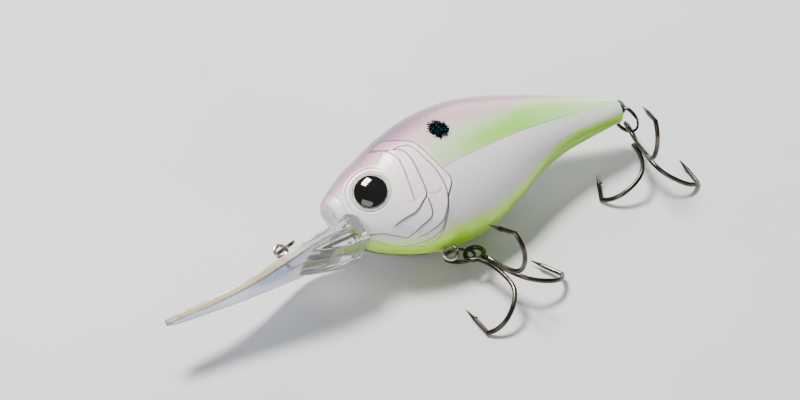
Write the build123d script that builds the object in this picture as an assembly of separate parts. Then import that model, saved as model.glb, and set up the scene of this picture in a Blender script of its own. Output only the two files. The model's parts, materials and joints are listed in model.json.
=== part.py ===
from build123d import *
import os
from math import cos, sin, radians

# ---------------------------------------------------------------------------
# Deep-diving crankbait, lying at rest on its right flank on a flat surface.
# All sizes are in millimetres.  The lure is drawn in its own lure frame:
#   X from the nose to the tail, Y towards the back, Z towards the left flank,
#   with the front of the upper jaw at the origin.
# It is then leaned, pitched and lifted onto the surface Z = 0 and centred.
# ---------------------------------------------------------------------------

# how the lure lies
lean = 23.0            # belly-down lean of the left flank from level
pitch = 2.9            # nose-up pitch of the centre line

# body stations: x, back, belly, half width
stations = [
    (0.0, 0.0, -4.4, 2.8),
    (2.5, 2.2, -7.8, 4.9),
    (6.0, 4.5, -11.5, 6.9),
    (10.0, 6.5, -13.9, 8.3),
    (15.0, 8.9, -15.7, 9.3),
    (21.0, 11.1, -16.8, 9.8),
    (27.0, 12.4, -16.7, 9.7),
    (34.0, 12.8, -15.1, 9.0),
    (41.0, 11.8, -11.9, 7.8),
    (48.0, 10.0, -8.1, 6.3),
    (55.0, 7.8, -5.5, 4.9),
    (62.0, 5.4, -4.2, 3.7),
    (70.0, 2.5, -3.0, 2.7),
]
cuts = [0, 2, 4.5, 8, 12, 17, 22, 27, 32, 37, 42, 47, 52, 57, 63, 70]    # x of the drawn sections
corner_fullness = 0.725    # how far the section fills its corners
wall = 1.5                 # moulded wall thickness
hollow_from = 2            # first and last cut of the hollow
hollow_to = 14

# mouth
mouth_at = (-1.1, -1.9, 0.0)
mouth_radii = (2.6, 2.7, 2.2)

# eyes
eye_at = (8.1, -3.2, 7.6)
eye_turn = 19.0            # eyes look this much towards the nose
eye_r = 3.6
pupil_r = 3.15
eye_seat_depth = 1.2
iris_t = 0.9
pupil_t = 0.3
lens_rim = 0.35
lens_h = 0.8

# lip: centre line of the blade, from the chin to the tip, and its plan
blade_line = [
    (4.0, -7.6),
    (-2.0, -8.6),
    (-9.0, -9.7),
    (-15.0, -10.8),
    (-23.0, -12.0),
    (-32.0, -12.7),
    (-39.0, -13.0),
]
blade_t_root = 2.1
blade_t_tip = 1.2
lip_plan = [
    (4.5, 6.0),
    (0.0, 8.2),
    (-5.0, 8.9),
    (-10.0, 7.8),
    (-16.0, 5.7),
    (-23.0, 3.6),
    (-32.0, 2.1),
    (-37.0, 1.3),
]
lip_tip_x = -38.7
chin_block = [
    (1.6, -5.4),
    (3.2, -5.9),
    (4.0, -7.4),
    (4.6, -12.0),
    (0.5, -12.2),
    (-5.5, -11.3),
    (-8.0, -10.4),
    (-8.0, -9.0),
    (-1.5, -7.4),
]
chin_block_half = 6.3

# line tie
tie_at = (-11.5, -6.5)
tie_loop_r = 1.25
tie_wire = 0.8

# hook hangers
hanger_wire = 0.8
hanger_loop_r = 1.6
belly_loop_at = (21.1, -18.0)
tail_loop_at = (70.4, 0.2)
leg_gap = 1.1
leg_wire = 0.75

# split rings: mean radius, radial thickness, overall axial thickness
hook_ring = (3.1, 0.5, 0.8)
tie_ring = (2.1, 0.45, 0.8)

# treble hooks
hook_wire = 1.0
front_r = 0.47             # the front of each hook is drawn a little finer
hook_eye_r = 1.9
junction = (9.2, 0.9)
bend_out = 6.3
corner = (13.3, 12.4)
corner_pull = (3.8, -2.2)
tip = (5.9, 10.7)
point_len = 3.2
# each treble: step from the hanger hole to the treble eye along the surface,
# heading of the shank, rise of the shank, roll about the shank
belly_lie = (4.71, -1.77, -74.0, 10.0, 2.5)
tail_lie = (2.12, -2.78, -103.3, 5.5, -0.5)

# ballast
ballast_at = (15.2, -9.9)
ballast_r = 3.0
ballast_len = 7.6


from_base = (Align.CENTER, Align.CENTER, Align.MIN)     # cylinders and cones that stand on their base


def smooth(x, column):
    """Smooth value of one station column at x, by cubic steps between the stations."""
    n = len(stations)
    i = max(k for k in range(n - 1) if stations[k][0] <= x)

    def slope(k):
        before = stations[max(k - 1, 0)]
        after = stations[min(k + 1, n - 1)]
        return (after[column] - before[column]) / (after[0] - before[0])

    x0, x1 = stations[i][0], stations[i + 1][0]
    y0, y1 = stations[i][column], stations[i + 1][column]
    h = x1 - x0
    t = (x - x0) / h
    start = (1 + 2 * t) * (1 - t) ** 2 * y0 + t * (1 - t) ** 2 * h * slope(i)
    end = t * t * (3 - 2 * t) * y1 + t * t * (t - 1) * h * slope(i + 1)
    return start + end


def section(x, inset):
    """Left half of the body section at x, drawn inset from the skin."""
    plane = Plane(origin=(x, 0, 0), x_dir=(0, 1, 0), z_dir=(1, 0, 0))
    top = smooth(x, 1) - inset
    low = smooth(x, 2) + inset
    side = smooth(x, 3) - inset
    mid = (top + low) / 2
    rise = corner_fullness * (top - mid)
    out = corner_fullness * side
    pts = [(top, 0), (mid + rise, out), (mid, side), (mid - rise, out), (low, 0)]
    skin = Spline(*[Vector(*p) for p in pts], tangents=[(0, 1), (0, -1)])
    closing = Line((low, 0), (top, 0))
    return plane * make_face([skin, closing])


def half_body(inset, first, last):
    """Left half of the body, or of its hollow."""
    return loft([section(x, inset) for x in cuts[first:last + 1]])


def cone(a, b, r1, r2):
    """Tapered wire from a to b."""
    a = Vector(*a)
    b = Vector(*b)
    return Plane(origin=a, z_dir=(b - a)) * Cone(r1, r2, (b - a).length, align=from_base)


def rod(a, b, r):
    """Round wire from a to b."""
    a = Vector(*a)
    b = Vector(*b)
    return Plane(origin=a, z_dir=(b - a)) * Cylinder(r, (b - a).length, align=from_base)


def split_ring(size):
    """Two-coil split ring about the local Z axis: a waisted flat section with a stepped end."""
    mean, radial, axial = size
    coil = axial / 2
    body = Part()
    for side in (-1, 1):
        with BuildPart() as turn:
            with BuildSketch(Plane.XZ):
                with Locations((mean, side * coil / 2)):
                    RectangleRounded(radial, coil, coil * 0.3)
            revolve(axis=Axis.Z)
        body = body + turn.part
    waist = Cylinder(mean + radial * 0.36, axial * 0.4) - Cylinder(mean - radial * 0.36, axial * 0.4)
    notch = Pos(mean, 0, axial * 0.44) * Box(radial * 2, radial * 0.7, axial * 0.3)
    return (body + waist) - notch


def bend_point(t):
    """Distance along the shank axis and out from it, at fraction t of the bend."""
    controls = [junction, (junction[0] + bend_out, junction[1])]
    controls += [(corner[0] + corner_pull[0], corner[1] + corner_pull[1]), corner]
    weights = [(1 - t) ** 3, 3 * t * (1 - t) ** 2, 3 * t * t * (1 - t), t ** 3]
    return [sum(w * c[k] for w, c in zip(weights, controls)) for k in (0, 1)]


def hook(phase, lead):
    """One hook of a treble: the lead points from the eye, the bend, the point and its barb."""
    def at(a, r):
        return Vector(a, r * cos(radians(phase)), r * sin(radians(phase)))
    bend_end = at(*corner)
    path = Spline(*[Vector(*p) for p in lead], *[at(*bend_point(t)) for t in (0, 0.25, 0.5, 0.75, 1)])
    wire = sweep(Plane(origin=path @ 0, z_dir=path % 0) * Circle(hook_wire / 2), path=path)
    run = at(*tip) - bend_end
    along = run.normalized()
    out = at(0, 1)
    neck = at(*tip) - along * point_len
    front = rod(bend_end - along * 0.25, neck, front_r)
    spear = cone(neck, at(*tip), front_r, 0.06)
    barb = cone(neck + along * 0.6 - out * 0.3, neck - along * 0.5 - out * 0.9, 0.3, 0.05)
    return wire + front + spear + barb


def treble_double():
    """Two hooks of one wire, folded round to make the eye."""
    shape = Part() + Torus(hook_eye_r, hook_wire / 2)
    for side, phase in ((-1, -150), (1, -30)):
        lead = [(hook_eye_r * 0.8, side * 0.85, 0), (4.0, side * 0.42, 0)]
        shape = shape + hook(phase, lead)
    return shape


def treble_single():
    """The third hook, brazed along the top of the folded shank."""
    return hook(90, [(4.3, 0, 1.0)])


# ---------------------------------------------------------------------------
# body, lip and fittings in the lure frame
# ---------------------------------------------------------------------------
left = half_body(0.0, 0, len(cuts) - 1)
left = left - half_body(wall, hollow_from, hollow_to)

mouth = Pos(*mouth_at) * scale(Sphere(1), by=mouth_radii)
left = left - mouth

# lip blade: bowed strip trimmed to its plan, with the block that cups the chin
line = Spline(*[Vector(x, y) for x, y in blade_line])
blade_run = blade_line[0][0] - blade_line[-1][0]
upper = []
lower = []
for x, y in blade_line:
    share = (blade_line[0][0] - x) / blade_run
    half = (blade_t_root + (blade_t_tip - blade_t_root) * share) / 2
    upper.append((x, y + half))
    lower.append((x, y - half))
strip_edges = [
    Spline(*[Vector(*p) for p in upper]),
    Line(upper[-1], lower[-1]),
    Spline(*[Vector(*p) for p in reversed(lower)]),
    Line(lower[0], upper[0]),
]
strip = extrude(make_face(strip_edges), amount=30, both=True)
plan_left = [Vector(x, h) for x, h in lip_plan] + [Vector(lip_tip_x, 0)]
plan_right = [Vector(x, -h) for x, h in reversed(lip_plan)]
plan_edge = Spline(*plan_left, *plan_right)
plan_root = Line(plan_right[-1], plan_left[0])
plan = make_face([plan_edge, plan_root])
plan_prism = extrude(Plane.XZ * plan, amount=40, both=True)
block_face = make_face(Polyline(*chin_block, close=True))
block = extrude(block_face, amount=chin_block_half, both=True)
lip = (strip & plan_prism) + block

# line tie: a standing eye on the lip with its wire moulded back to the body
tx, ty = tie_at
tie = Pos(tx, ty, 0) * Torus(tie_loop_r, tie_wire / 2)
tie_path = [
    (tx, ty - tie_loop_r - 0.1, 0),
    (tx, -10.2, 0),
    (tx + 4.0, -9.9, 0),
    (3.0, -9.0, 0),
    (9.5, -9.0, 0),
]
for a, b in zip(tie_path, tie_path[1:]):
    tie = tie + rod(a, b, tie_wire / 2) + Pos(*b) * Sphere(tie_wire / 2)

# hangers: a loop outside and two legs held between the halves
bx, by = belly_loop_at
belly_hanger = Pos(bx, by, 0) * Torus(hanger_loop_r, hanger_wire / 2)
for side in (-1, 1):
    x = bx + side * leg_gap / 2
    belly_hanger = belly_hanger + rod((x, by + hanger_loop_r - 0.2, 0), (x, by + 8.5, 0), leg_wire / 2)
cx, cy = tail_loop_at
tail_hanger = Pos(cx, cy, 0) * Torus(hanger_loop_r, hanger_wire / 2)
for side in (-1, 1):
    y = cy + side * leg_gap / 2
    tail_hanger = tail_hanger + rod((cx - hanger_loop_r + 0.2, y, 0), (cx - 10.0, y, 0), leg_wire / 2)

# cast ballast between the halves, low in the belly
ballast = Pos(*ballast_at, 0) * Rot(0, 90, 0) * Cylinder(ballast_r, ballast_len)

# webs that carry the hanger legs and cradle the ballast
belly_web = Pos(bx, -13.0, 0) * Box(5.0, 9.0, 16.0)
tail_web = Pos(62.0, cy, 0) * Box(8.0, 4.0, 6.0)
full_left = half_body(0.0, 0, len(cuts) - 1)
left = left + (full_left & belly_web) + (full_left & tail_web)
left = left - lip - tie - belly_hanger - tail_hanger - ballast
lip = lip - tie

# eyes on the left flank
eye_frame = Location(Vector(*eye_at)) * Rotation(0, -eye_turn, 0)
socket = eye_frame * Pos(0, 0, -eye_seat_depth) * Cylinder(eye_r, 6.0, align=from_base)
left = left - socket
iris = eye_frame * Pos(0, 0, -eye_seat_depth) * Cylinder(eye_r, iris_t, align=from_base)
pupil_base = iris_t - eye_seat_depth
pupil = eye_frame * Pos(0, 0, pupil_base) * Cylinder(pupil_r, pupil_t, align=from_base)
dome_r = (eye_r ** 2 + lens_h ** 2) / (2 * lens_h)
dome = Pos(0, 0, pupil_base + lens_rim + lens_h - dome_r) * Sphere(dome_r)
slab = Pos(0, 0, pupil_base) * Cylinder(eye_r, lens_h + 1, align=from_base)
lens = eye_frame * (dome & slab) - pupil

solids = {
    "body_shell_left": left,
    "body_shell_right": mirror(left, about=Plane.XY),
    "diving_lip": lip,
    "line_tie": tie,
    "belly_hanger": belly_hanger,
    "tail_hanger": tail_hanger,
    "belly_ballast": ballast,
    "eye_left_iris": iris,
    "eye_left_pupil": pupil,
    "eye_left_lens": lens,
    "eye_right_iris": mirror(iris, about=Plane.XY),
    "eye_right_pupil": mirror(pupil, about=Plane.XY),
    "eye_right_lens": mirror(lens, about=Plane.XY),
}

# ---------------------------------------------------------------------------
# lay the lure down on the surface
# ---------------------------------------------------------------------------
posed = Rotation(0, pitch, 0) * Rotation(lean, 0, 0)
resting = [posed * solids[name] for name in ("body_shell_right", "diving_lip")]
height = -min(s.bounding_box().min.Z for s in resting)
print("body low", resting[0].bounding_box().min.Z, "lip low", resting[1].bounding_box().min.Z)
lay = Pos(0, 0, height) * posed
for name in list(solids):
    solids[name] = lay * solids[name]


def lure_point(x, y, z=0.0):
    """A point of the lure frame after the lure is laid down."""
    return (lay * Pos(x, y, z)).position


def lure_direction(x, y, z):
    """A direction of the lure frame after the lure is laid down."""
    return lure_point(x, y, z) - lure_point(0, 0, 0)


def lay_treble(hole, lie, treble):
    """Location of a treble whose lower hooks rest on the surface."""
    step_x, step_y, heading, rise, roll = lie
    turn = Rotation(0, 0, heading) * Rotation(0, -rise, 0) * Rotation(roll, 0, 0)
    low = (turn * treble).bounding_box().min.Z
    return Pos(hole.X + step_x, hole.Y + step_y, -low) * turn


def lay_ring(p, q, normal, size):
    """Split ring whose wire passes through points p and q, in the plane nearest to this normal."""
    chord = q - p
    d = chord.normalized()
    n = (normal - d * normal.dot(d)).normalized()
    r = size[0]
    centre = (p + q) * 0.5 + n.cross(d) * (r ** 2 - (chord.length / 2) ** 2) ** 0.5
    ring = Plane(origin=centre, x_dir=d, z_dir=n) * split_ring(size)
    return ring, n.cross(p - centre).normalized(), n.cross(q - centre).normalized()


marks = {}
for name, at, lie, eye_turned, shift, eye_shift, normal in (
    ("belly", belly_loop_at, belly_lie, 0, (-0.15, 0.0), 0.0, lure_direction(0, 1, 0)),
    ("tail", tail_loop_at, tail_lie, 120, (0.55, 0.0), 0.25, Vector(-0.915, -0.404, 0)),
):
    double = Rot(eye_turned, 0, 0) * treble_double()
    single = Rot(eye_turned, 0, 0) * treble_single()
    place = lay_treble(lure_point(*at), lie, double + single)
    eye = (place * Pos(eye_shift, 0, 0)).position
    p = lure_point(at[0] + shift[0], at[1] + shift[1])
    ring, turn_p, turn_q = lay_ring(p, eye, normal, hook_ring)
    solids[name + "_split_ring"] = ring
    solids[name + "_treble_double"] = place * double
    solids[name + "_treble_single"] = place * single
    marks[name + " ring pivot"] = (p, turn_p)
    marks[name + " treble pivot"] = (eye, turn_q)

# line tie: a small ring leans from the eye towards the face
back_way = lure_direction(0, 1, 0)
tie_hole = lure_point(tx, ty)
far = tie_hole + lure_direction(0.75, 0.35, -0.56).normalized() * 2 * tie_ring[0]
solids["line_tie_split_ring"], turn_p, turn_q = lay_ring(tie_hole, far, back_way, tie_ring)
marks["tie ring pivot"] = (tie_hole, turn_p)
marks["tie out"] = (tie_hole, back_way)

# centre the assembly over the origin
boxes = [s.bounding_box() for s in solids.values()]
mid_x = (min(b.min.X for b in boxes) + max(b.max.X for b in boxes)) / 2
mid_y = (min(b.min.Y for b in boxes) + max(b.max.Y for b in boxes)) / 2
print("shift", -mid_x, -mid_y, "height", height)
for k in "XYZ":
    print("size", k, max(getattr(b.max, k) for b in boxes) - min(getattr(b.min, k) for b in boxes))
print("low", min(b.min.Z for b in boxes))
for key, (p, w) in marks.items():
    p = p + Vector(-mid_x, -mid_y, 0)
    print(key, [round(c, 3) for c in p], [round(c, 4) for c in w])

os.makedirs("parts", exist_ok=True)
for name, solid in solids.items():
    export_step(Pos(-mid_x, -mid_y, 0) * solid, "parts/" + name + ".step")
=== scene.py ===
import json
from math import cos, pi, radians, sin

import bpy
import numpy as np
from mathutils import Matrix, Vector


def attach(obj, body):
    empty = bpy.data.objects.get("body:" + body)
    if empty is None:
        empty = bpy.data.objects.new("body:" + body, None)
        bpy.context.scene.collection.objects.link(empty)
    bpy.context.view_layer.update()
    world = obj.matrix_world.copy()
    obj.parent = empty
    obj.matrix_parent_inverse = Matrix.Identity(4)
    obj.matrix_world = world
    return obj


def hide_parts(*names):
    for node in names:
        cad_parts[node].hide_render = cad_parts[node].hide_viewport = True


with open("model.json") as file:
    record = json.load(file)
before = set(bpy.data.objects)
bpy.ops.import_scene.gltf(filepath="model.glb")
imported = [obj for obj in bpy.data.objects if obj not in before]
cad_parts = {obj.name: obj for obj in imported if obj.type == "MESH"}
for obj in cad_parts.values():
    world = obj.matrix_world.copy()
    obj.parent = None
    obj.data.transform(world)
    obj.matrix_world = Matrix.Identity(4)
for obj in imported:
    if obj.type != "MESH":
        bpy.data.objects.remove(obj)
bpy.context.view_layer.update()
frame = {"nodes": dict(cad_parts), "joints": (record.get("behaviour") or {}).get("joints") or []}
nodes = frame["nodes"]

# ---------------------------------------------------------------------------
# The lure frame: millimetres, X from nose to tail, Y to the back, Z to the left flank.
# The row frame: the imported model's own, in metres, +Z up.
# ---------------------------------------------------------------------------
MM = 0.001
LEAN = radians(23.0)        # the lure lies on its right flank with its back raised by this
PITCH = radians(2.9)        # and its nose raised by this
BELLY_RING_HOLE = Vector((20.95, -18.0, 0.0))

turn = Matrix.Rotation(PITCH, 4, "Y") @ Matrix.Rotation(LEAN, 4, "X")
joint_at = {j["name"]: Vector(j["pos_m"]) for j in frame["joints"]}
place = Matrix.Translation(joint_at["belly_ring_swing"] - turn @ (BELLY_RING_HOLE * MM)) @ turn


def to_row(points):
    """Lure-frame points in millimetres as row-frame points in metres."""
    m = np.array(place)
    return np.asarray(points, float) * MM @ m[:3, :3].T + m[:3, 3]


# body stations: x, back, belly, half width
STATIONS = np.array([
    (0.0, 0.0, -4.4, 2.8), (2.5, 2.2, -7.8, 4.9), (6.0, 4.5, -11.5, 6.9), (10.0, 6.5, -13.9, 8.3),
    (15.0, 8.9, -15.7, 9.3), (21.0, 11.1, -16.8, 9.8), (27.0, 12.4, -16.7, 9.7), (34.0, 12.8, -15.1, 9.0),
    (41.0, 11.8, -11.9, 7.8), (48.0, 10.0, -8.1, 6.3), (55.0, 7.8, -5.5, 4.9), (62.0, 5.4, -4.2, 3.7),
    (70.0, 2.5, -3.0, 2.7),
])
BACK, BELLY, HALF_WIDTH = 1, 2, 3       # columns of the stations
TAIL_X = 70.0
CORNER = 2 / 2.155          # exponent of the full-cornered section
SIDES = {"left": 1.0, "right": -1.0}    # sign of Z on each side

EYE_AT = np.array((8.1, -3.2, 7.6))
EYE_TURN = radians(19.0)
EYE_R = 3.6
# the left eye's own directions: along the flank, to the back, and out of the socket
EYE_ACROSS = np.array((cos(EYE_TURN), 0, sin(EYE_TURN)))
EYE_UP = np.array((0.0, 1.0, 0.0))
EYE_OUT = np.array((-sin(EYE_TURN), 0, cos(EYE_TURN)))

# gill plates on the flank: the edge's (x, y) points, and how high the plate stands there
PLATES = [
    ([(11.9, 5.1), (13.7, 6.2), (15.6, 6.6), (17.7, 5.2), (20.5, 3.6), (21.6, 0.2), (23.1, -3.9),
      (24.0, -5.8), (24.1, -6.9), (23.7, -7.6), (22.2, -9.5), (21.7, -11.0), (20.9, -12.8), (20.0, -14.4),
      (19.0, -15.4), (17.5, -15.8), (15.1, -15.5), (11.6, -14.4), (8.9, -13.1), (6.4, -11.4),
      (4.5, -9.9)], 0.26),
    ([(15.8, 3.4), (17.6, 3.5), (19.3, 2.9), (19.9, 1.6), (20.6, -0.7), (21.6, -3.2), (22.1, -5.6),
      (22.3, -7.6), (22.1, -9.2), (21.6, -10.8), (20.8, -12.2), (19.8, -13.3), (18.2, -13.9), (16.0, -14.3),
      (14.0, -14.2)], 0.22),
    ([(12.1, 5.2), (12.9, 4.8), (14.1, 4.1), (15.8, 3.4), (17.6, 2.3), (18.2, 0.0), (18.2, -3.8),
      (18.2, -7.0), (17.9, -8.2), (17.1, -8.7), (15.1, -10.3), (12.0, -10.6), (9.9, -11.1)], 0.24),
    ([(14.1, 4.1), (15.1, 2.9), (15.8, 1.4), (15.9, -0.1), (15.6, -3.7), (15.3, -6.9), (15.3, -8.6)], 0.14),
    ([(18.0, -8.2), (18.0, -9.5), (18.1, -10.9), (17.8, -12.1), (14.3, -13.2), (12.4, -13.7), (10.2, -12.5),
      (7.9, -11.2), (4.3, -9.6)], 0.18),
    ([(20.6, -12.7), (19.5, -14.5), (17.8, -15.1), (16.0, -15.2), (13.5, -14.8), (11.0, -14.1)], 0.12),
]
SCALLOP = [(18.3, -7.4), (19.0, -8.1), (20.0, -8.4), (21.0, -8.2), (21.7, -7.4)]
LATERAL = [(23.6, -3.9), (27.9, -3.1), (36.2, -1.8), (44.0, -0.6), (54.0, 0.3), (70.0, 0.6)]
FLANK_LINES = (             # name, line, length of the fade at its ends, x ahead of which it is full
    ("scallop", SCALLOP, 0.5, -np.inf),
    ("lateral", LATERAL, 22.0, 40.0),
)
LONGEST_CHORD = 0.4         # edge lines are cut this short, so that they follow the curved flank
SPOT_AT = (26.8, 4.6)
SPOT_R = 2.15


def smooth_column(x, column):
    """A station column at x, by cubic steps between the stations."""
    xs = STATIONS[:, 0]
    ys = STATIONS[:, column]
    n = len(xs)
    before = np.maximum(np.arange(n) - 1, 0)
    after = np.minimum(np.arange(n) + 1, n - 1)
    slopes = (ys[after] - ys[before]) / (xs[after] - xs[before])
    i = np.clip(np.searchsorted(xs, x, side="right") - 1, 0, n - 2)
    h = xs[i + 1] - xs[i]
    t = (x - xs[i]) / h
    start = (1 + 2 * t) * (1 - t) ** 2 * ys[i] + t * (1 - t) ** 2 * h * slopes[i]
    return start + t * t * (3 - 2 * t) * ys[i + 1] + t * t * (t - 1) * h * slopes[i + 1]


def step(value, low, high):
    """Smooth rise from 0 at low to 1 at high."""
    t = np.clip((value - low) / (high - low), 0, 1)
    return t * t * (3 - 2 * t)


def bell(value, width):
    """A smooth bump of this width around zero."""
    return np.exp(-((value / width) ** 2))


def share_up(x, y):
    """Where y lies in the body's height at x: -1 at the belly, 1 at the back."""
    back = smooth_column(x, BACK)
    belly = smooth_column(x, BELLY)
    return (y - (back + belly) / 2) / ((back - belly) / 2)


def flank_height(x, y):
    """Half width of the body at (x, y)."""
    c = np.abs(np.clip(share_up(x, y), -1, 1)) ** (1 / CORNER)
    return smooth_column(x, HALF_WIDTH) * np.sqrt(np.clip(1 - c * c, 0, 1)) ** CORNER


def rounded(points, passes=2, near=0.82, far=0.18):
    """The line with its corners cut, at these shares of each run."""
    pts = [np.array(p, float) for p in points]
    for _ in range(passes):
        cut = [pts[0]]
        for a, b in zip(pts, pts[1:]):
            cut += [a * near + b * far, a * far + b * near]
        pts = cut + [pts[-1]]
    return np.array(pts)


def on_flank(points):
    """The rounded line in short runs on the curved flank."""
    line = rounded(points)
    runs = []
    for a, b in zip(line, line[1:]):
        runs.append(np.linspace(a, b, 2 + int(np.hypot(*(b - a)) / LONGEST_CHORD))[:-1])
    line = np.concatenate(runs + [line[-1:]])
    return np.column_stack([line, flank_height(line[:, 0], line[:, 1])])


def edge_distance(verts, points, reach=0.7):
    """Distance to an edge line on the flank, positive behind it, and a fade over reach at its ends."""
    line = on_flank(points)
    lengths = np.linalg.norm(np.diff(line, axis=0), axis=1)
    start = np.concatenate([[0], np.cumsum(lengths)])
    best = np.full(len(verts), np.inf)
    side = np.ones(len(verts))
    along = np.zeros(len(verts))
    for k, (a, b) in enumerate(zip(line, line[1:])):
        ab = b - a
        t = np.clip((verts - a) @ ab / (ab @ ab), 0, 1)
        d = np.linalg.norm(verts - (a + t[:, None] * ab), axis=1)
        near = d < best
        best = np.where(near, d, best)
        cross = ab[0] * (verts[:, 1] - a[1]) - ab[1] * (verts[:, 0] - a[0])
        side = np.where(near, np.where(cross >= 0, 1.0, -1.0), side)
        along = np.where(near, start[k] + t * lengths[k], along)
    fade = step(along, 0, reach) * step(start[-1] - along, 0, reach)
    return best * side, fade


# ---------------------------------------------------------------------------
# materials
# ---------------------------------------------------------------------------
def srgb(r, g, b):
    """A linear colour from 0-255 values."""
    out = []
    for v in (r, g, b):
        v = v / 255
        out.append(v / 12.92 if v <= 0.04045 else ((v + 0.055) / 1.055) ** 2.4)
    return (*out, 1.0)


class Nodes:
    """Short calls for building one material's node tree."""

    def __init__(self, name):
        self.material = bpy.data.materials.new(name)
        self.material.use_nodes = True
        self.tree = self.material.node_tree
        self.shader = self.tree.nodes["Principled BSDF"]

    def new(self, kind, **values):
        """A node, with its sockets and settings given by name."""
        node = self.tree.nodes.new(kind)
        for key, value in values.items():
            if key in node.inputs:
                node.inputs[key].default_value = value
            else:
                setattr(node, key, value)
        return node

    def link(self, a, b):
        self.tree.links.new(a, b)

    def feed(self, socket, value):
        """Links a socket, or sets it to a plain value."""
        if isinstance(value, bpy.types.NodeSocket):
            self.link(value, socket)
        else:
            socket.default_value = value

    def maths(self, operation, *values):
        node = self.new("ShaderNodeMath", operation=operation)
        for socket, value in zip(node.inputs, values):
            self.feed(socket, value)
        return node.outputs[0]

    def plus(self, a, b):
        return self.maths("ADD", a, b)

    def minus(self, a, b):
        return self.maths("SUBTRACT", a, b)

    def times(self, a, b):
        return self.maths("MULTIPLY", a, b)

    def attribute(self, name):
        """A mesh attribute's number (Fac) and vector (Vector), by output name."""
        return self.new("ShaderNodeAttribute", attribute_name=name).outputs

    def split(self, vector):
        """The x, y and z of a vector."""
        node = self.new("ShaderNodeSeparateXYZ")
        self.link(vector, node.inputs[0])
        return node.outputs

    def rise(self, value, low, high):
        """Smooth rise from 0 at low to 1 at high, either way round."""
        node = self.new("ShaderNodeMapRange", interpolation_type="SMOOTHSTEP")
        self.feed(node.inputs["Value"], value)
        node.inputs["From Min"].default_value = low
        node.inputs["From Max"].default_value = high
        return node.outputs["Result"]

    def mix(self, factor, a, b, blend="MIX"):
        """Colour a turning into colour b. The sockets share their names, so they go by number."""
        node = self.new("ShaderNodeMix", data_type="RGBA", blend_type=blend)
        self.feed(node.inputs[0], factor)
        self.feed(node.inputs[6], a)
        self.feed(node.inputs[7], b)
        return node.outputs[2]

    def noise(self, scale, detail, vector=None):
        """Noise over vector, or over the object's own metres."""
        node = self.new("ShaderNodeTexNoise", Scale=scale, Detail=detail)
        self.link(vector or self.new("ShaderNodeTexCoord").outputs["Object"], node.inputs["Vector"])
        return node.outputs[0]

    def cells(self, scale, vector):
        """Voronoi cells: Distance and Color, by output name."""
        node = self.new("ShaderNodeTexVoronoi", Scale=scale)
        self.link(vector, node.inputs["Vector"])
        return node.outputs

    def bump(self, height, distance, strength):
        node = self.new("ShaderNodeBump", Strength=strength, Distance=distance)
        self.link(height, node.inputs["Height"])
        self.link(node.outputs[0], self.shader.inputs["Normal"])

    def set(self, **values):
        """Feeds the shader's sockets and gives the finished material."""
        for key, value in values.items():
            self.feed(self.shader.inputs[key.replace("_", " ")], value)
        return self.material


# inked grooves: the attribute that holds the distance, half width in millimetres, strength
GROOVES = [
    ("edge_0", 0.3, 0.85), ("edge_1", 0.29, 0.8), ("edge_2", 0.29, 0.8), ("edge_3", 0.26, 0.65),
    ("edge_4", 0.29, 0.8), ("edge_5", 0.26, 0.7), ("edge_scallop", 0.24, 0.4), ("edge_lateral", 0.2, 0.4),
    ("edge_socket", 0.2, 0.55), ("edge_brow", 0.2, 0.45), ("edge_lip", 0.2, 0.15),
]
GROOVE_CORE = 0.35          # share of the half width that has the full strength
HATCH_ALONG = 16.5          # hatch lines to a unit of the skin map, along and round the body
HATCH_ROUND = 9.5


def pearl_colour(n, x, up, cloud):
    """Pearl flank, pink and violet back, green band and a paler tail, with a painted pink sheen on the gill
    plates.
    """
    pearl = n.mix(n.rise(cloud, 0.35, 0.7), srgb(240, 238, 240), srgb(252, 246, 248))
    pearl = n.mix(n.rise(up, 0.15, -0.5), pearl, srgb(240, 236, 241))
    # painted pink sheen: a pink glow of light on the gill plates, painted into the colour
    pearl = n.mix(n.attribute("painted_sheen")["Fac"], pearl, srgb(250, 214, 222))
    colour = n.mix(n.rise(up, 0.12, 0.72), pearl, srgb(214, 166, 176))
    ridge = n.times(n.rise(up, 0.56, 1.0), n.rise(x, 50, 14))
    colour = n.mix(ridge, colour, srgb(108, 92, 136))
    green = n.mix(n.rise(x, 22, 48), srgb(176, 240, 122), srgb(150, 240, 70))
    colour = n.mix(n.attribute("band")["Fac"], colour, green)
    return n.mix(n.times(n.rise(x, 52, 68), 0.55), colour, srgb(198, 228, 192))


def belly_colour(n, colour, x, up, cloud):
    """Yellow-green belly with a wandering edge, darker along the keel."""
    wander = n.times(n.minus(cloud, 0.5), 0.12)
    low = n.plus(n.plus(up, wander), n.times(n.rise(x, 23, 14), 0.07))
    low = n.minus(low, n.times(n.rise(x, 42, 60), 0.16))
    colour = n.mix(n.rise(low, -0.76, -0.95), colour, srgb(186, 248, 0))
    return n.mix(n.rise(low, -0.92, -1.01), colour, srgb(142, 208, 0))


def scale_cut(n):
    """Scale hatch: two families of slanting lines over the skin, the second one weaker."""
    flat = n.split(n.new("ShaderNodeUVMap", uv_map="skin").outputs[0])
    lines = []
    for sign, depth in (("SUBTRACT", 1.0), ("ADD", 0.55)):
        slant = n.maths(sign, n.times(flat[0], HATCH_ALONG), n.times(flat[1], HATCH_ROUND))
        ramp = n.maths("MINIMUM", n.times(n.maths("PINGPONG", slant, 0.5), 4.0), 1.0)
        lines.append(n.times(n.minus(1.0, ramp), depth))
    return n.maths("MAXIMUM", *lines)


def spot_colour(n, lure):
    """Near black with teal and gold fleck."""
    grain = n.cells(4.6, lure)
    teal = n.mix(n.rise(grain["Color"], 0.66, 0.95), srgb(3, 6, 8), srgb(10, 78, 72))
    return n.mix(n.rise(grain["Distance"], 0.09, 0.03), teal, srgb(130, 140, 100))


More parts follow.
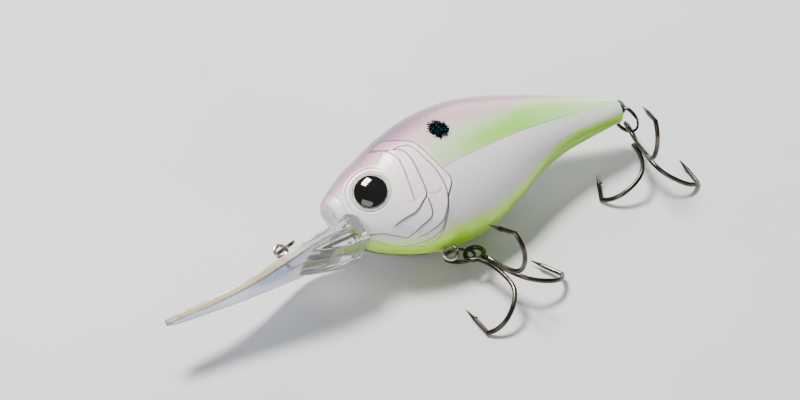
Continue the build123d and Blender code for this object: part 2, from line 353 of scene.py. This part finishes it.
def inked(n, colour, up):
    """Dark ink in the grooves, wider towards the back, where the flank turns away."""
    widen = n.minus(1.0, n.times(n.rise(up, 0.2, 0.75), 0.45))
    for name, width, strength in GROOVES:
        gap = n.times(n.maths("ABSOLUTE", n.attribute(name)["Fac"]), widen)
        line = n.times(n.rise(gap, width, width * GROOVE_CORE), strength)
        colour = n.mix(line, colour, srgb(62, 60, 58))
    return colour


def paint_material():
    """Pearl paint: pale back, green band, yellow-green belly, scale hatch, fleck, spot and inked grooves."""
    n = Nodes("pearl_paint")
    lure = n.attribute("lure")["Vector"]
    x = n.split(lure)[0]
    up = n.attribute("up")["Fac"]
    scales = n.attribute("scales")["Fac"]
    cloud = n.noise(0.22, 3.0, lure)
    fine = n.noise(2.2, 2.0, lure)

    colour = belly_colour(n, pearl_colour(n, x, up, cloud), x, up, cloud)
    colour = n.mix(n.attribute("inner")["Fac"], colour, srgb(244, 240, 248))

    cut = scale_cut(n)
    ink = n.plus(n.times(n.rise(up, -0.1, 0.7), 0.4), 0.55)
    colour = n.mix(n.times(n.times(cut, scales), ink), colour, srgb(104, 82, 92), "MULTIPLY")

    # fleck in the clear coat
    glitter = n.times(n.rise(n.cells(3.4, lure)["Distance"], 0.16, 0.05), n.rise(fine, 0.52, 0.62))
    colour = n.mix(n.times(glitter, 0.75), colour, srgb(255, 252, 248))

    # dark spot with a ragged edge, which takes neither coat nor gloss
    ragged = n.plus(n.attribute("spot")["Fac"], n.times(fine, 0.9))
    in_spot = n.rise(ragged, 0.55, 0.3)
    colour = n.mix(in_spot, colour, spot_colour(n, lure))
    outside = n.minus(1.0, in_spot)

    raised = n.times(n.times(n.minus(1.0, cut), scales), 0.7)
    n.bump(n.plus(raised, glitter), 0.00006, 0.8)
    return n.set(
        Base_Color=inked(n, colour, up),
        Roughness=n.plus(n.times(fine, 0.10), 0.26),
        Coat_Weight=n.times(outside, 0.4),
        Coat_Roughness=0.2,
        IOR=1.48,
        Specular_IOR_Level=n.times(outside, 0.5),
    )


def wire_material(name, dark, light, rough):
    """Drawn metal wire: faint draw marks and tarnish."""
    n = Nodes(name)
    marks = n.noise(900.0, 3.0)
    tarnish = n.noise(260.0, 2.0)
    colour = n.mix(n.rise(tarnish, 0.35, 0.7), dark, light)
    n.bump(marks, 0.00002, 0.35)
    return n.set(Base_Color=colour, Metallic=1.0, Roughness=n.plus(n.times(marks, 0.12), rough))


def lip_material():
    """Clear moulded plastic: cool through its faces, cream along the blade's edges, faintly rippled."""
    n = Nodes("clear_lip")
    ripple = n.noise(120.0, 2.0)
    blade = n.rise(n.attribute("ahead")["Fac"], 5.0, 15.0)
    edge = n.times(n.rise(n.attribute("side")["Fac"], 0.3, 0.8), blade)
    face = n.mix(n.rise(ripple, 0.4, 0.7), srgb(150, 168, 196), srgb(176, 188, 208))
    face = n.mix(blade, srgb(212, 214, 216), face)
    colour = n.mix(edge, face, srgb(242, 226, 190))
    through = n.minus(0.96, n.times(edge, 0.42))
    n.bump(ripple, 0.00008, 0.25)
    return n.set(Base_Color=colour, Transmission_Weight=through, Roughness=0.05, IOR=1.55)


def iris_material():
    """Pale foil ring with fine rays."""
    n = Nodes("iris_foil")
    rays = n.noise(1400.0, 3.0)
    colour = n.mix(n.rise(rays, 0.4, 0.65), srgb(206, 222, 150), srgb(238, 240, 206))
    n.bump(rays, 0.00003, 0.5)
    return n.set(Base_Color=colour, Metallic=0.25, Roughness=0.3)


def pupil_material():
    """Gloss black dome of the eye."""
    n = Nodes("pupil_black")
    print_grain = n.noise(800.0, 2.0)
    colour = n.mix(n.rise(print_grain, 0.45, 0.7), srgb(1, 1, 2), srgb(6, 6, 9))
    return n.set(Base_Color=colour, Roughness=0.06, Coat_Weight=0.6, Coat_Roughness=0.02)


def ballast_material():
    """Dull cast metal."""
    n = Nodes("cast_metal")
    cast = n.noise(700.0, 4.0)
    colour = n.mix(n.rise(cast, 0.4, 0.65), srgb(120, 120, 124), srgb(152, 152, 156))
    n.bump(cast, 0.0001, 0.5)
    return n.set(Base_Color=colour, Metallic=0.9, Roughness=0.5)


def floor_material():
    """Plain pale floor with a trace of tone."""
    n = Nodes("pale_floor")
    tone = n.noise(14.0, 3.0)
    colour = n.mix(n.rise(tone, 0.3, 0.7), srgb(206, 206, 208), srgb(214, 214, 215))
    return n.set(Base_Color=colour, Roughness=0.75)


PAINT = paint_material()
BRIGHT = wire_material("bright_wire", srgb(178, 170, 158), srgb(226, 220, 210), 0.12)
NICKEL = wire_material("dark_nickel", srgb(60, 56, 52), srgb(104, 97, 88), 0.14)
CAST = ballast_material()
IRIS = iris_material()
PUPIL = pupil_material()


# ---------------------------------------------------------------------------
# objects and pieces
# ---------------------------------------------------------------------------
def smooth_shading(data):
    data.polygons.foreach_set("use_smooth", [True] * len(data.polygons))


def give_material(node, material):
    """One material for a CAD node."""
    data = nodes[node].data
    data.materials.clear()
    data.materials.append(material)


def add_object(name, data):
    """An object in the scene."""
    obj = bpy.data.objects.new(name, data)
    bpy.context.scene.collection.objects.link(obj)
    return obj


def add_mesh(name, verts, faces, material, body, slot, *replaced):
    """A piece in the row frame, riding on a body."""
    data = bpy.data.meshes.new(name)
    data.from_pydata([tuple(v) for v in verts], [], faces)
    data.materials.append(material)
    smooth_shading(data)
    data.update()
    obj = add_object(name, data)
    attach(obj, body)
    if replaced:
        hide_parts(*replaced)
    return obj


def set_attribute(obj, name, values):
    """A float on every vertex, for the material's nodes."""
    layer = obj.data.attributes.new(name, "FLOAT", "POINT")
    layer.data.foreach_set("value", np.asarray(values, np.float32))


def turned(faces):
    """The same faces, seen from the other side."""
    return [tuple(reversed(face)) for face in faces]


for metal_node, metal in (
    ("line_tie", BRIGHT), ("belly_hanger", BRIGHT), ("tail_hanger", BRIGHT),
    ("belly_treble_double", NICKEL), ("belly_treble_single", NICKEL),
    ("tail_treble_double", NICKEL), ("tail_treble_single", NICKEL),
    ("belly_ballast", CAST),
):
    give_material(metal_node, metal)
    smooth_shading(nodes[metal_node].data)
for side in SIDES:
    give_material(f"eye_{side}_iris", IRIS)


# ---------------------------------------------------------------------------
# the painted body, as two moulded halves
# ---------------------------------------------------------------------------
AROUND = 240                # steps from the back to the belly
SPACING = (                 # start, end and spacing of the rings along the body
    (0.0, 3.4, 0.16), (3.4, 12.8, 0.11), (12.8, 26.0, 0.17), (26.0, 69.6, 0.36), (69.6, 69.98, 0.1),
)
MOUTH_RAKE = 1.35           # the lower jaw sits this far behind the upper
RAKE_REACH = 4.0            # and that dies out over this length
MOUTH_RINGS = [             # depth behind the opening and share of it, from the middle outwards
    (1.2, 0.02), (1.18, 0.3), (1.08, 0.52), (0.86, 0.68), (0.52, 0.78), (0.2, 0.83), (0.04, 0.87),
    (-0.04, 0.92), (0.0, 0.97),
]
TAIL_ROUND = 0.05           # share by which the edge of the tail face is rounded in
# the tail face bulges a little: how far past its end, and share of the section
TAIL_RINGS = [(-0.02, 0.94), (0.04, 0.7), (0.08, 0.4), (0.1, 0.02)]
GROOVE_AT = 0.2             # the furrow lies this far behind a plate's edge
GROOVE_WIDTH = 0.16
GROOVE_DEPTH = 0.07
INK_AT = 0.1                # and its ink this far behind
LINE_DEPTH = 0.05           # of the scallop, the lateral line and the seam
LINE_WIDTH = 0.17
SEAM_WIDTH = 0.12
FAINTEST = 0.02             # keeps a faded line's distance finite
PLATE_FALL = 2.4            # a plate sinks back to the skin over this length ahead of its edge
PLATE_EDGE = 0.16           # and over this one behind it
FAR = 9.0                   # a distance at which no groove is drawn
# ridges and furrows, as height, distance and width: round the eye, over it, and behind the mouth
SOCKET_RIDGES = ((0.14, 3.8, 0.16), (-0.12, 4.12, 0.13), (0.06, 4.45, 0.25))
BROW_RIDGES = ((0.15, 4.8, 0.22), (-0.13, 5.15, 0.16), (0.1, 5.7, 0.3))
MOUTH_RIDGES = ((0.14, 0.55, 0.5), (-0.17, 1.75, 0.32))
SOCKET_INK = 4.1            # the distances at which they are inked
BROW_INK = 5.15
MOUTH_INK = 1.75
BROW_AT = radians(125)      # middle of the brow, from the tail's side round by the back
EYE_NEAR = 6                # the eye's own flank lies within this of the eye's plane
SEAT = -1.3                 # the socket's floor, below the iris
END_FADE = 0.3              # relief fades out over this at the mouth and the tail
SKIN_UNIT = 10              # millimetres of skin to one unit of its flat map
BAND_START = (19.5, 23.5)   # x between which the green band comes in
BAND_GAIN = (22, 36)        # reaches its full strength
BAND_SOFTEN = (38, 60)      # and has its edges softened
SCALES_START = (8, 14)      # x between which the scale hatch comes in
SCALES_THIN = (40, 66)      # and thins out
SPOT_SHAPE = (0.9, 0.84)    # distances from the spot's centre count for this much, along x and y
# centre, radius and strength of the painted pink sheen on the gill plates
PAINTED_SHEEN_AT = (18.5, -4.0)
PAINTED_SHEEN_R = 5.0
PAINTED_SHEEN_STRENGTH = 0.7


def stretches(*spans):
    """x positions along the body: (start, end, spacing) for each span."""
    out = []
    for start, end, spacing in spans:
        out += list(np.arange(start, end - spacing / 2, spacing))
    return np.array(out + [spans[-1][1]])


def section_ring(x, angles, share=1.0, depth=0.0):
    """Half section of the body at x, drawn in to a share of its size, moved tailwards by depth."""
    back = smooth_column(x, BACK)
    belly = smooth_column(x, BELLY)
    mid = (back + belly) / 2
    y = mid + share * (back - belly) / 2 * np.sign(np.cos(angles)) * np.abs(np.cos(angles)) ** CORNER
    z = share * smooth_column(x, HALF_WIDTH) * np.abs(np.sin(angles)) ** CORNER
    return np.column_stack([x + depth, y, z])


def half_grid(angles, rake):
    """Rings from the dished mouth to the tail face, with the first skin ring and the one past the last."""
    xs = stretches(*SPACING)
    skin_rings = [section_ring(x + rake * max(0.0, 1 - x / RAKE_REACH), angles) for x in xs]
    opening = skin_rings[0]
    middle = (opening[0] + opening[-1]) / 2
    rings = []
    for depth, share in MOUTH_RINGS:
        ring = middle + (opening - middle) * share
        ring[:, 0] += depth
        rings.append(ring)
    for x, ring in zip(xs, skin_rings):
        shrink = TAIL_ROUND * step(x, TAIL_X - 0.45, TAIL_X + 0.35)
        centre_y = (ring[0, 1] + ring[-1, 1]) / 2
        ring[:, 1] = centre_y + (ring[:, 1] - centre_y) * (1 - shrink)
        ring[:, 2] *= 1 - shrink
        rings.append(ring)
    for depth, share in TAIL_RINGS:
        rings.append(section_ring(np.full_like(angles, TAIL_X), angles, share, depth))
    first = len(MOUTH_RINGS)
    return np.array(rings), first, first + len(xs)


def outward(grid):
    """Unit normals of the grid's points."""
    normal = np.cross(np.gradient(grid, axis=1), np.gradient(grid, axis=0))
    return normal / np.maximum(np.linalg.norm(normal, axis=2, keepdims=True), 1e-9)


def girth(grid):
    """Distance of each point along its ring from the ring's middle."""
    runs = np.linalg.norm(np.diff(grid, axis=1), axis=2)
    arc = np.concatenate([np.zeros((len(grid), 1)), np.cumsum(runs, axis=1)], 1)
    return arc - arc[:, -1:] / 2


def grid_faces(count, width):
    """Quads between the rings, one flat face that closes the middle plane, and a cap on each end."""
    faces = []
    for i in range(count - 1):
        for j in range(width - 1):
            a = i * width + j
            faces.append((a, a + 1, a + width + 1, a + width))
    back_line = [i * width for i in range(count)]
    belly_line = [i * width + width - 1 for i in reversed(range(count))]
    faces.append(tuple(back_line + belly_line))
    faces.append(tuple(range(width)))
    faces.append(tuple((count - 1) * width + j for j in reversed(range(width))))
    return faces


def eye_local(points):
    """Points in the left eye's own directions, from its centre."""
    rel = points - EYE_AT
    return rel @ EYE_ACROSS, rel @ EYE_UP, rel @ EYE_OUT


def ridges(distance, table):
    """Height of the ridges and furrows at this distance."""
    return sum(height * bell(distance - at, width) for height, at, width in table)


def add_plates(verts, height, edges):
    """Adds the plates and flank lines to height and edges, and gives the distance behind the gill cover."""
    behind = []
    for k, (points, stand) in enumerate(PLATES):
        d, fade = edge_distance(verts, points)
        slope = np.where(d < 0, np.exp(np.minimum(d, 0) / PLATE_FALL), 1 - step(d, 0, PLATE_EDGE))
        height += stand * slope * fade
        height -= GROOVE_DEPTH * bell(d - GROOVE_AT, GROOVE_WIDTH) * fade
        edges[f"edge_{k}"] = (d - INK_AT) / np.maximum(fade, FAINTEST)
        behind.append(d)
    for name, points, reach, full_ahead_of in FLANK_LINES:
        d, fade = edge_distance(verts, points, reach)
        fade = np.where(verts[:, 0] < full_ahead_of, 1.0, fade)
        height -= LINE_DEPTH * bell(d, LINE_WIDTH) * fade
        edges["edge_" + name] = d / np.maximum(fade, FAINTEST)
    return behind[0]


def add_socket(verts, height, edges):
    """Adds the eye's rings and its brow to height and edges, and gives the points near the eye."""
    ex, ey, ez = eye_local(verts)
    r = np.hypot(ex, ey)
    near = np.abs(ez) < EYE_NEAR
    brow = step(np.cos(np.arctan2(ey, ex) - BROW_AT), -0.1, 0.75)
    height += near * ridges(r, SOCKET_RIDGES)
    height += near * brow * ridges(r, BROW_RIDGES)
    edges["edge_socket"] = np.where(near, r - SOCKET_INK, FAR)
    edges["edge_brow"] = np.where(near, (r - BROW_INK) / np.maximum(brow, FAINTEST), FAR)
    return near


def sunk_seat(verts, near):
    """The points with those inside the eye's rim sunk to the seat that the iris lies over."""
    ex, ey, ez = eye_local(verts)
    r = np.hypot(ex, ey)
    wall = step(r, EYE_R + 0.02, EYE_R + 0.16)
    target = np.minimum(ez, SEAT * (1 - wall) + ez * wall)
    sunk = near & (r < EYE_R + 0.2)
    return verts + (sunk * (target - ez))[:, None] * EYE_OUT


def paint_values(x, y, behind, skin):
    """What the paint needs at each point: height, green band, scale hatch, spot and painted pink sheen."""
    within = np.clip(x, 0, TAIL_X)
    line = np.interp(x, [p[0] for p in LATERAL], [p[1] for p in LATERAL])
    over = y - line
    room = np.maximum(smooth_column(within, BACK) - line, 1.0)
    soft = step(x, *BAND_SOFTEN)
    lower = step(over, -0.1 - 2.2 * soft, 0.45 + 0.8 * soft)
    upper = 1 - step(over / room, 0.12 + 0.35 * soft, 0.62 + 0.5 * soft)
    strength = 0.55 + 0.45 * step(x, *BAND_GAIN)
    band = lower * upper * strength * step(x, *BAND_START) * (1 - 0.3 * soft)
    band *= step(behind, 0.0, 0.5) * step(y, -8.0, -5.0)
    up = share_up(within, y)
    scales = step(behind, 0.2, 1.0) * step(up, -1.0, -0.55)
    scales = scales * (1 - 0.75 * step(x, *SCALES_THIN)) * step(x, *SCALES_START) * skin
    along = (x - SPOT_AT[0]) * SPOT_SHAPE[0]
    across = (y - SPOT_AT[1]) * SPOT_SHAPE[1]
    spot = np.hypot(along, across) / SPOT_R - 0.95
    # painted pink sheen: a bell of pink over the gill plates
    painted_sheen = PAINTED_SHEEN_STRENGTH * bell(np.hypot(x - PAINTED_SHEEN_AT[0], y - PAINTED_SHEEN_AT[1]), PAINTED_SHEEN_R)
    return {"up": up, "band": band, "scales": scales, "spot": spot, "painted_sheen": painted_sheen}


def half_skin():
    """Vertices, faces, paint values and flat map of the left half, in the lure frame."""
    angles = np.linspace(0, pi, AROUND + 1)
    rake = MOUTH_RAKE * (1 - np.cos(angles)) / 2
    grid, first_skin, past_skin = half_grid(angles, rake)
    count, width = grid.shape[:2]
    ring_number = np.repeat(np.arange(count), width)
    skin = (ring_number >= first_skin) & (ring_number < past_skin)
    arc = girth(grid)
    verts = grid.reshape(-1, 3)
    x, y = verts[:, 0], verts[:, 1]

    height = np.zeros(len(verts))
    edges = {}
    behind = add_plates(verts, height, edges)
    near = add_socket(verts, height, edges)

    # lip of the mouth and the soft ring behind it
    from_mouth = x - np.tile(rake, count)
    height += skin * ridges(from_mouth, MOUTH_RIDGES)
    edges["edge_lip"] = np.where(skin, from_mouth - MOUTH_INK, FAR)

    # fine line where the halves meet, with the relief flattened beside it
    seam = np.minimum(np.abs(arc - arc[:, :1]), np.abs(arc - arc[:, -1:])).reshape(-1)
    height -= skin * LINE_DEPTH * bell(seam, SEAM_WIDTH)
    height *= step(seam, -0.05, 0.5) * 0.9 + 0.1

    ends = step(from_mouth, 0.0, END_FADE) * step(TAIL_X - x, 0.0, END_FADE)
    raised = verts + outward(grid).reshape(-1, 3) * (height * skin * ends)[:, None]
    raised[:, 2] = np.maximum(raised[:, 2], 0.0)

    inner = np.where(ring_number < first_skin, 1.0, 0.0)
    values = {**paint_values(x, y, behind, skin), "inner": inner, **edges}
    flat = np.column_stack([x, arc.reshape(-1)]) / SKIN_UNIT
    return sunk_seat(raised, near & skin), grid_faces(count, width), values, flat


def body_half(side, sign, skin):
    """One painted half of the body."""
    verts, faces, values, flat = skin
    lure = verts * np.array((1.0, 1.0, sign))
    if sign > 0:
        faces = turned(faces)
    obj = add_mesh("body_" + side, to_row(lure), faces, PAINT, "lure", "body_paint", "body_shell_" + side)
    for name, value in values.items():
        set_attribute(obj, name, value)
    layer = obj.data.attributes.new("lure", "FLOAT_VECTOR", "POINT")
    layer.data.foreach_set("vector", lure.astype(np.float32).reshape(-1))
    uv = obj.data.uv_layers.new(name="skin")
    corners = np.zeros(len(obj.data.loops), np.int32)
    obj.data.loops.foreach_get("vertex_index", corners)
    uv.data.foreach_set("uv", flat[corners].astype(np.float32).reshape(-1))


half = half_skin()
for side, sign in SIDES.items():
    body_half(side, sign, half)


# ---------------------------------------------------------------------------
# eyes: a gloss black dome standing on the pale foil ring
# ---------------------------------------------------------------------------
DOME_R = 3.42
DOME_TOP = 0.85             # heights are out from the eye's centre
DOME_FOOT = -0.3
DOME_SPHERE = 8.5           # radius of the domed face
DOME_FACE_R = 3.06
DOME_EDGE = [(3.23, 0.2), (3.35, 0.08), (3.41, -0.05), (DOME_R, DOME_FOOT)]
DOME_AROUND = 72


def eye_dome(side, sign):
    """Black domed pupil of one eye."""
    profile = []
    for r in np.linspace(0.12, DOME_FACE_R, 14):
        profile.append((r, DOME_TOP - DOME_SPHERE + (DOME_SPHERE ** 2 - r * r) ** 0.5))
    profile += DOME_EDGE
    flip = np.array((1.0, 1.0, sign))
    verts = []
    for r, height in profile:
        for k in range(DOME_AROUND):
            t = 2 * pi * k / DOME_AROUND
            at = EYE_AT + EYE_ACROSS * r * cos(t) + EYE_UP * r * sin(t) + EYE_OUT * height
            verts.append(at * flip)
    faces = []
    for i in range(len(profile) - 1):
        for k in range(DOME_AROUND):
            a = i * DOME_AROUND + k
            b = i * DOME_AROUND + (k + 1) % DOME_AROUND
            faces.append((a, a + DOME_AROUND, b + DOME_AROUND, b))
    faces.append(tuple(range(DOME_AROUND)))
    faces.append(tuple((len(profile) - 1) * DOME_AROUND + k for k in reversed(range(DOME_AROUND))))
    if sign < 0:
        faces = turned(faces)
    name = f"eye_{side}"
    add_mesh(name + "_dome", to_row(verts), faces, PUPIL, "lure", "pupil", name + "_pupil", name + "_lens")


for side, sign in SIDES.items():
    eye_dome(side, sign)


# ---------------------------------------------------------------------------
# lip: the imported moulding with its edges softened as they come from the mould
# ---------------------------------------------------------------------------
LIP_VOXEL = 0.2 * MM
LIP_SMOOTHING = 9


def lip_moulding():
    """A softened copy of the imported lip, with how far ahead of the nose and how sideways each point is."""
    obj = add_object("lip_moulding", nodes["diving_lip"].data.copy())
    remesh = obj.modifiers.new("voxels", "REMESH")
    remesh.mode = "VOXEL"
    remesh.voxel_size = LIP_VOXEL
    soften = obj.modifiers.new("soften", "SMOOTH")
    soften.factor = 0.5
    soften.iterations = LIP_SMOOTHING
    graph = bpy.context.evaluated_depsgraph_get()
    shaped = bpy.data.meshes.new_from_object(obj.evaluated_get(graph))
    obj.modifiers.clear()
    obj.data = shaped
    shaped.materials.clear()
    shaped.materials.append(lip_material())
    smooth_shading(shaped)
    along, _, flankwise = np.array(turn)[:3, :3].T
    normals = np.zeros(len(shaped.vertices) * 3, np.float32)
    shaped.vertex_normals.foreach_get("vector", normals)
    set_attribute(obj, "side", np.abs(normals.reshape(-1, 3) @ flankwise))
    co = np.zeros(len(shaped.vertices) * 3, np.float32)
    shaped.vertices.foreach_get("co", co)
    nose = np.array(place)[:3, 3]
    set_attribute(obj, "ahead", (nose - co.reshape(-1, 3)) @ along / MM)
    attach(obj, "lure")
    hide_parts("diving_lip")


lip_moulding()


# ---------------------------------------------------------------------------
# split rings: a flattened wire wound nearly twice round
# ---------------------------------------------------------------------------
COIL_TURNS = 1.9
COIL_STEPS = 230
WIRE_SIDES = 12
WIRE_CORNER = 0.6           # exponent that squares the wire's section
COIL_PITCH = 1.04           # from one turn to the next, in wires
CROSSING = (0.36, 0.64)     # share of the wire between which it crosses from one turn to the next
END_SIZE = 0.45             # the wire's ends are ground down to this
END_GROWTH = 30             # and grow to full size at this rate over the share of the wire


def ring_axes(co):
    """Centre of a flat ring of points, and its own two directions and axis."""
    centre = co.mean(0)
    away = co - centre
    axes = np.linalg.svd(away, full_matrices=False)[2]
    for direction in axes:
        reach = away @ direction
        centre = centre + direction * (reach.max() + reach.min()) / 2
    return centre, *axes


def split_ring(node, body, wire_axial, wire_radial):
    """A two-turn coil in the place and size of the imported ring."""
    co = np.array([vertex.co for vertex in nodes[node].data.vertices])
    centre, u, v, axis = ring_axes(co)
    outer = np.hypot((co - centre) @ u, (co - centre) @ v).max()
    mean = outer - wire_radial / 2
    profile = []
    for k in range(WIRE_SIDES):
        t = 2 * pi * (k + 0.5) / WIRE_SIDES
        c, s = cos(t), sin(t)
        radial = wire_radial / 2 * np.sign(c) * abs(c) ** WIRE_CORNER
        profile.append((radial, wire_axial / 2 * np.sign(s) * abs(s) ** WIRE_CORNER))
    verts = []
    for i in range(COIL_STEPS + 1):
        t = i / COIL_STEPS
        angle = 2 * pi * COIL_TURNS * t
        rise = (step(t, *CROSSING) - 0.5) * wire_axial * COIL_PITCH
        size = min(1.0, END_SIZE + END_GROWTH * min(t, 1 - t))
        spoke = cos(angle) * u + sin(angle) * v
        for radial, axial in profile:
            verts.append(centre + spoke * (mean + radial * size) + axis * (rise + axial * size))
    faces = []
    for i in range(COIL_STEPS):
        for k in range(WIRE_SIDES):
            a = i * WIRE_SIDES + k
            b = i * WIRE_SIDES + (k + 1) % WIRE_SIDES
            faces.append((a, b, b + WIRE_SIDES, a + WIRE_SIDES))
    faces.append(tuple(reversed(range(WIRE_SIDES))))
    faces.append(tuple(COIL_STEPS * WIRE_SIDES + k for k in range(WIRE_SIDES)))
    add_mesh(node + "_coil", verts, faces, NICKEL, body, "dark_nickel", node)


split_ring("belly_split_ring", "belly_ring", 0.39 * MM, 0.5 * MM)
split_ring("tail_split_ring", "tail_ring", 0.39 * MM, 0.5 * MM)
split_ring("line_tie_split_ring", "line_ring", 0.38 * MM, 0.44 * MM)


# ---------------------------------------------------------------------------
# floor, light and camera
# ---------------------------------------------------------------------------
FLOOR_HALF = 3.0
CAMERA_AZIMUTH = radians(-27.718)
CAMERA_ELEVATION = radians(45.0)
CAMERA_DISTANCE = 0.415
SENSOR = 36.0               # millimetres, as the lens
LENS = 91.0593
LOOK_AT = Vector((18.136, -2.513, -4.765))      # in the lure frame
LIGHTS = (                  # name, place, width and height, watts, colour
    ("key", (-0.10, 0.28, 0.62), (0.26, 0.16), 11.0, (1.0, 0.97, 0.95)),
    ("fill", (-0.60, -0.45, 0.50), (0.5, 0.5), 2.6, (1.0, 0.98, 0.95)),
    ("rim", (0.45, 0.55, 0.30), (0.4, 0.25), 2.5, (0.95, 0.97, 1.0)),
)
SKY = (0.86, 0.86, 0.88, 1)
SKY_STRENGTH = 0.32

target = place @ (LOOK_AT * MM)


def add_floor():
    """The plain pale floor that the lure lies on."""
    data = bpy.data.meshes.new("floor")
    corners = ((-1, -1), (1, -1), (1, 1), (-1, 1))
    data.from_pydata([(x * FLOOR_HALF, y * FLOOR_HALF, 0.0) for x, y in corners], [], [(0, 1, 2, 3)])
    data.materials.append(floor_material())
    add_object("floor", data)


def aim(obj, location, direction):
    """Puts a light or the camera in its place, looking in a direction."""
    obj.location = location
    obj.rotation_euler = direction.to_track_quat("-Z", "Y").to_euler()


def add_camera():
    """The camera, at the angle that the lure is seen from."""
    data = bpy.data.cameras.new("camera")
    data.sensor_width = SENSOR
    data.lens = LENS
    data.clip_start = 0.01
    camera = add_object("camera", data)
    towards_camera = Vector((
        sin(CAMERA_AZIMUTH) * cos(CAMERA_ELEVATION),
        -cos(CAMERA_AZIMUTH) * cos(CAMERA_ELEVATION),
        sin(CAMERA_ELEVATION),
    ))
    aim(camera, target + towards_camera * CAMERA_DISTANCE, -towards_camera)
    bpy.context.scene.camera = camera


def area_light(name, location, size, power, colour):
    """A soft box aimed at the lure."""
    data = bpy.data.lights.new(name, "AREA")
    data.shape = "RECTANGLE"
    data.size, data.size_y = size
    data.energy = power
    data.color = colour
    aim(add_object(name, data), location, target - Vector(location))


def add_sky():
    """Even soft light from all round."""
    world = bpy.data.worlds.new("studio")
    world.use_nodes = True
    background = world.node_tree.nodes["Background"]
    background.inputs["Color"].default_value = SKY
    background.inputs["Strength"].default_value = SKY_STRENGTH
    bpy.context.scene.world = world


add_floor()
add_camera()
for light in LIGHTS:
    area_light(*light)
add_sky()
